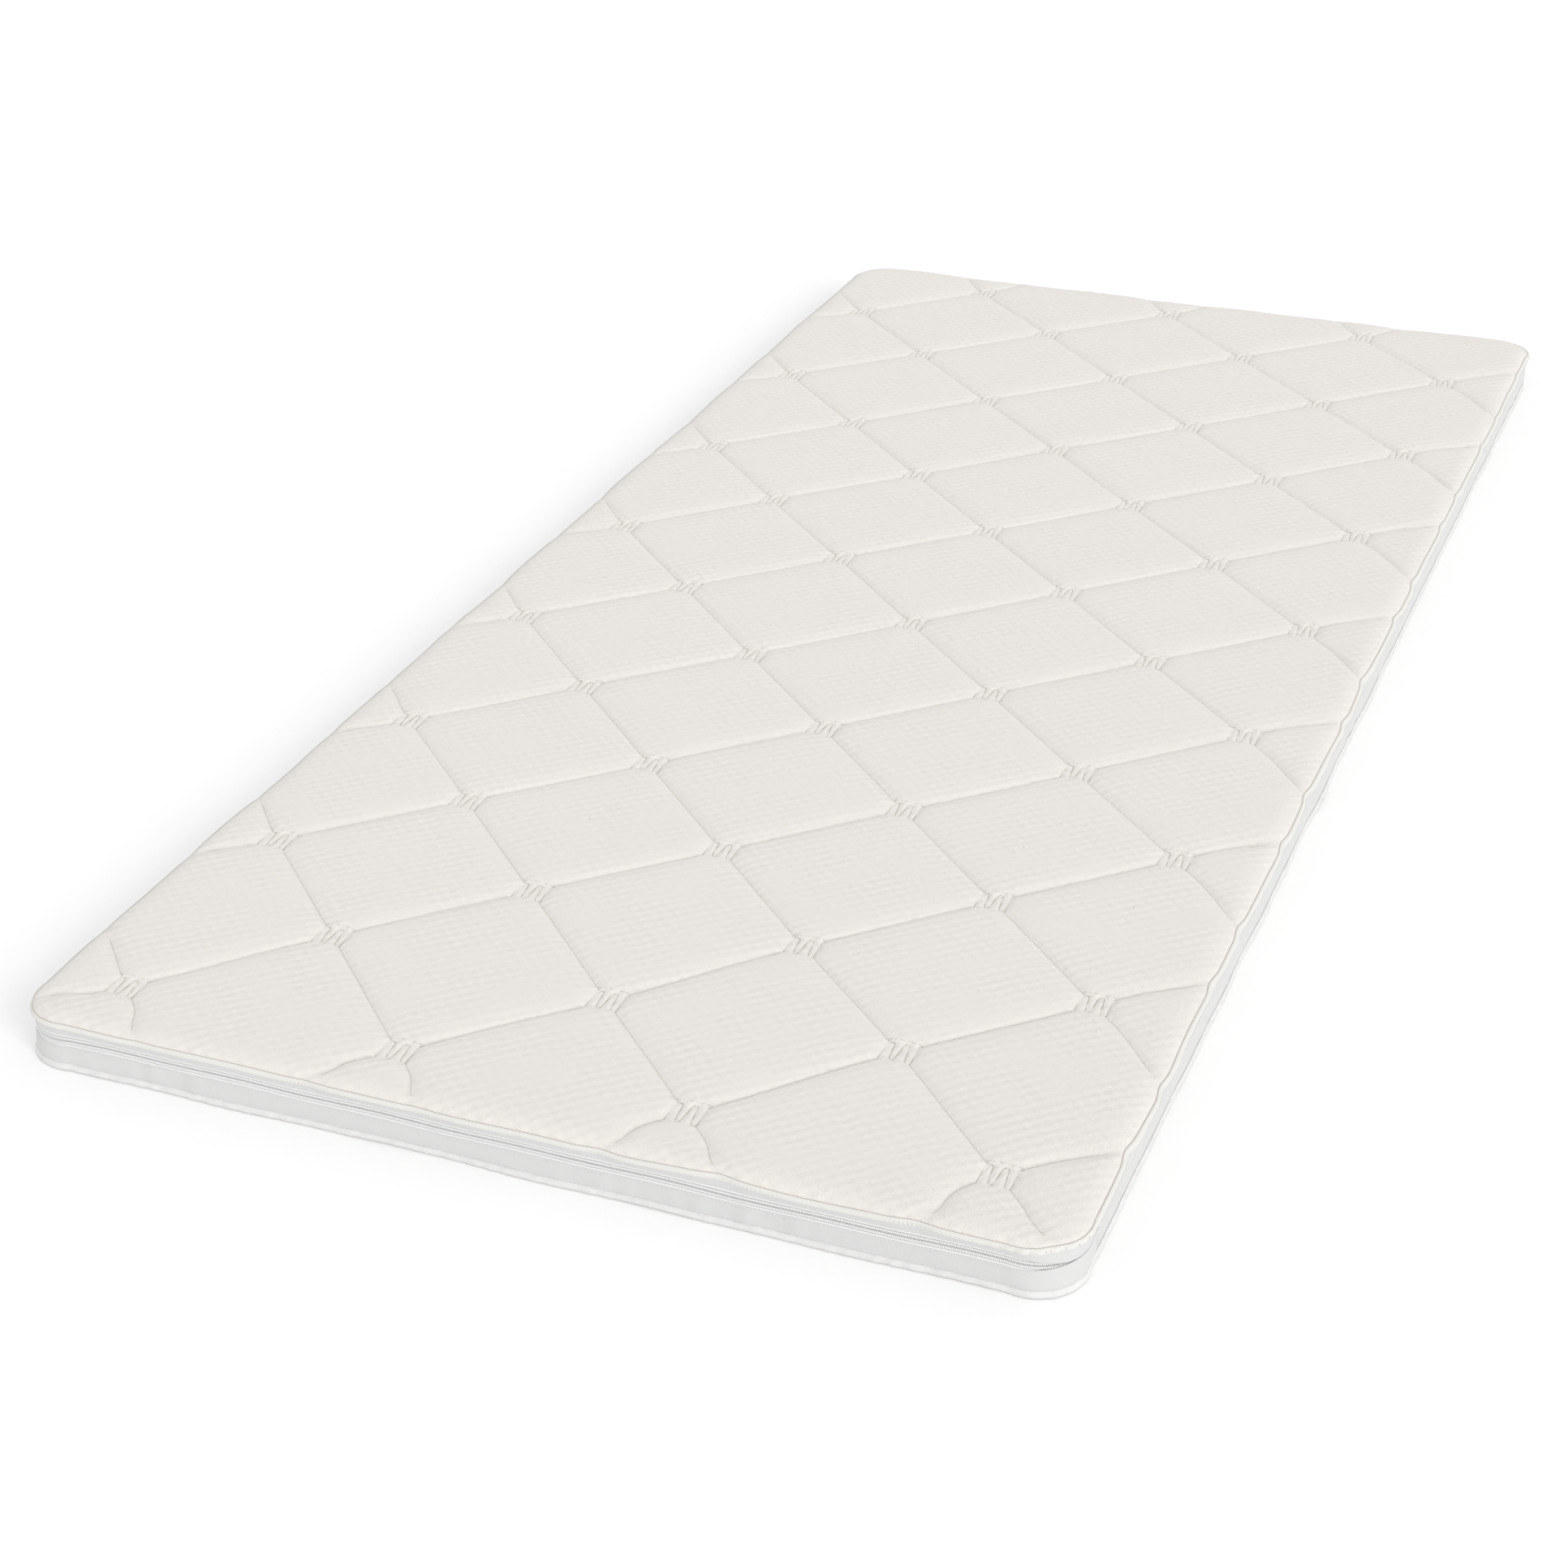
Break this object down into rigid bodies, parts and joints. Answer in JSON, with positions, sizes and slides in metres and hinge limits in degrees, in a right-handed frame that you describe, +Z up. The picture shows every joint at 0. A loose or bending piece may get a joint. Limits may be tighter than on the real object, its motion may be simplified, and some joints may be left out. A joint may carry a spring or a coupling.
{
  "type": "quilted memory foam mattress topper",
  "caption": "Thin memory foam mattress topper in a quilted cream knit cover, with a zip along the foot end and one long side.",
  "frame": {"origin": "middle of the plan, on the floor that the topper lies on", "axes": "+Z up, +Y along the length towards the head end, +X to the right seen from the foot end"},
  "size_m": [0.9072, 2.0072, 0.05],
  "materials": {
    "knit_ticking": "matte double-knit jacquard ticking, warm cream",
    "border_knit": "matte plain knit border, cool white",
    "under_fabric": "matte plain woven underside, cool white",
    "backing": "matte spunbond nonwoven",
    "wadding": "matte bonded polyester fibre",
    "foam": "matte open-cell viscoelastic foam, pale yellow",
    "quilt_thread": "satin twisted polyester thread",
    "seam_thread": "satin textured polyester overlock thread",
    "zip_tape": "matte woven polyester tape",
    "label_cloth": "satin blank woven label",
    "zip_coil": "satin nylon coil",
    "zip_metal": "nickel-plated zinc alloy, satin"
  },
  "bodies": {
    "cover_and_core": {"foam_core": "foam", "bottom_panel": "under_fabric", "top_backing": "backing", "top_wadding": "wadding", "top_ticking": "knit_ticking", "quilting_thread": "quilt_thread", "upper_border": "border_knit", "lower_border": "border_knit", "hinge_border": "border_knit", "top_seam_overlock": "seam_thread", "top_seam_stitching": "quilt_thread", "bottom_seam_overlock": "seam_thread", "bottom_seam_stitching": "seam_thread", "zip_tape_upper": "zip_tape", "zip_tape_lower": "zip_tape", "zip_coil_upper": "zip_coil", "zip_coil_lower": "zip_coil", "zip_stitching_upper": "seam_thread", "zip_stitching_lower": "seam_thread", "side_seam_stitching": "seam_thread", "zip_bottom_stop": "zip_metal", "zip_top_stops": "zip_metal", "care_label": "label_cloth"},
    "slider": {"zip_slider": "zip_metal"},
    "puller": {"zip_puller": "zip_metal"}
  },
  "joints": [
    {"name": "zip_slide", "type": "slide", "parent": "cover_and_core", "child": "slider", "axis": [0, -1, 0], "range_m": [0, 1.86]},
    {"name": "puller_swing", "type": "hinge", "parent": "slider", "child": "puller", "pos_m": [-0.45155, 0.93, 0.0285], "axis": [0, 0, -1], "range_deg": [0, 180]}
  ]
}
